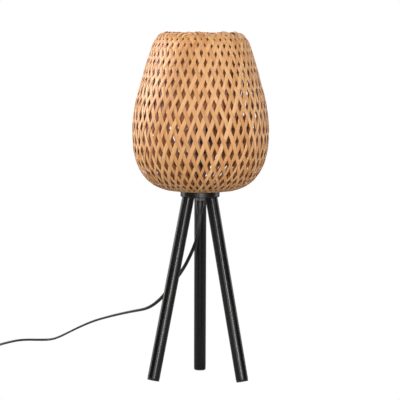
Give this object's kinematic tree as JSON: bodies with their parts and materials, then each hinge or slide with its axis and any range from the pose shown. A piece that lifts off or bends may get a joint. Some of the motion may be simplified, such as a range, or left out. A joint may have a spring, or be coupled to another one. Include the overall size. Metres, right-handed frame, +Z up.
{
  "type": "tripod table lamp",
  "caption": "Table lamp: egg-shaped double-walled woven bamboo shade on a black wooden tripod, with lampholder, clear bulb, cord, in-line rocker switch and plug.",
  "frame": {"origin": "on the floor under the lamp's upright centre line", "axes": "+Z up along the stem, -Y to the front, between the two front legs, which are turned 1.5 degrees clockwise seen from above, +X to the right seen from the front"},
  "size_m": [0.5991, 0.5474, 0.6076],
  "materials": {
    "bamboo": "split bamboo strips, natural, satin",
    "black_wood": "black satin lacquer on turned wood",
    "black_metal": "black satin powder coat",
    "zinc_steel": "zinc plated",
    "board": "plywood",
    "rubber_pad": "matt black",
    "black_plastic": "black thermoplastic, fine satin",
    "cord_black": "black flexible cord sheath, satin",
    "core_brown": "brown core insulation",
    "core_blue": "blue core insulation",
    "ceramic": "white steatite",
    "brass": "plain brass",
    "nickel": "nickel plated",
    "glass": "clear glass",
    "dark_glass": "black vitrite",
    "phosphor": "amber phosphor coating"
  },
  "bodies": {
    "lamp": {"leg_left": "black_wood", "leg_right": "black_wood", "leg_rear": "black_wood", "foot_pad_left": "rubber_pad", "foot_pad_right": "rubber_pad", "foot_pad_rear": "rubber_pad", "hub_disc": "black_metal", "leg_hanger_bolts": "zinc_steel", "stem_tube": "zinc_steel", "stem_sleeve": "black_metal", "stem_washer": "black_metal", "stem_nut_lower": "black_metal", "stem_nut_upper": "zinc_steel", "stem_cable": "cord_black", "cord_grip": "black_plastic", "cord_grip_screw": "black_plastic", "shade_base_weave": "bamboo", "shade_lower_weave": "bamboo", "shade_upper_weave": "bamboo", "shade_inner_weave": "bamboo", "shade_rim_hoop": "zinc_steel", "shade_base_disc": "board", "shade_clamp_plate": "black_metal", "holder_cap": "black_plastic", "holder_shell": "black_plastic", "holder_insulator": "ceramic", "holder_contacts": "brass", "holder_screw_shell": "brass", "holder_terminal_screws": "brass", "core_live": "core_brown", "core_neutral": "core_blue", "cord_to_switch": "cord_black", "cord_to_coil": "cord_black", "cord_to_plug": "cord_black", "cord_coil": "cord_black", "cord_tie": "black_plastic", "switch_base": "black_plastic", "switch_cover": "black_plastic", "switch_screws": "zinc_steel", "switch_contacts": "brass", "switch_cable_ends": "cord_black", "plug_body": "black_plastic", "plug_pins": "nickel", "plug_pin_sleeves": "black_plastic"},
    "bulb": {"bulb_glass": "glass", "bulb_cap": "nickel", "bulb_insulator": "dark_glass", "bulb_contact": "brass", "bulb_stem": "glass", "bulb_filaments": "phosphor"},
    "rocker": {"switch_rocker": "black_plastic"}
  },
  "joints": [
    {"name": "bulb_turn", "type": "hinge", "parent": "lamp", "child": "bulb", "pos_m": [0, 0, 0.448], "axis": [0, 0, 1], "continuous": true},
    {"name": "rocker_tilt", "type": "hinge", "parent": "lamp", "child": "rocker", "pos_m": [-0.4165, 0.233, 0.0125], "axis": [0.9063, -0.4226, 0], "range_deg": [0, 20]}
  ]
}
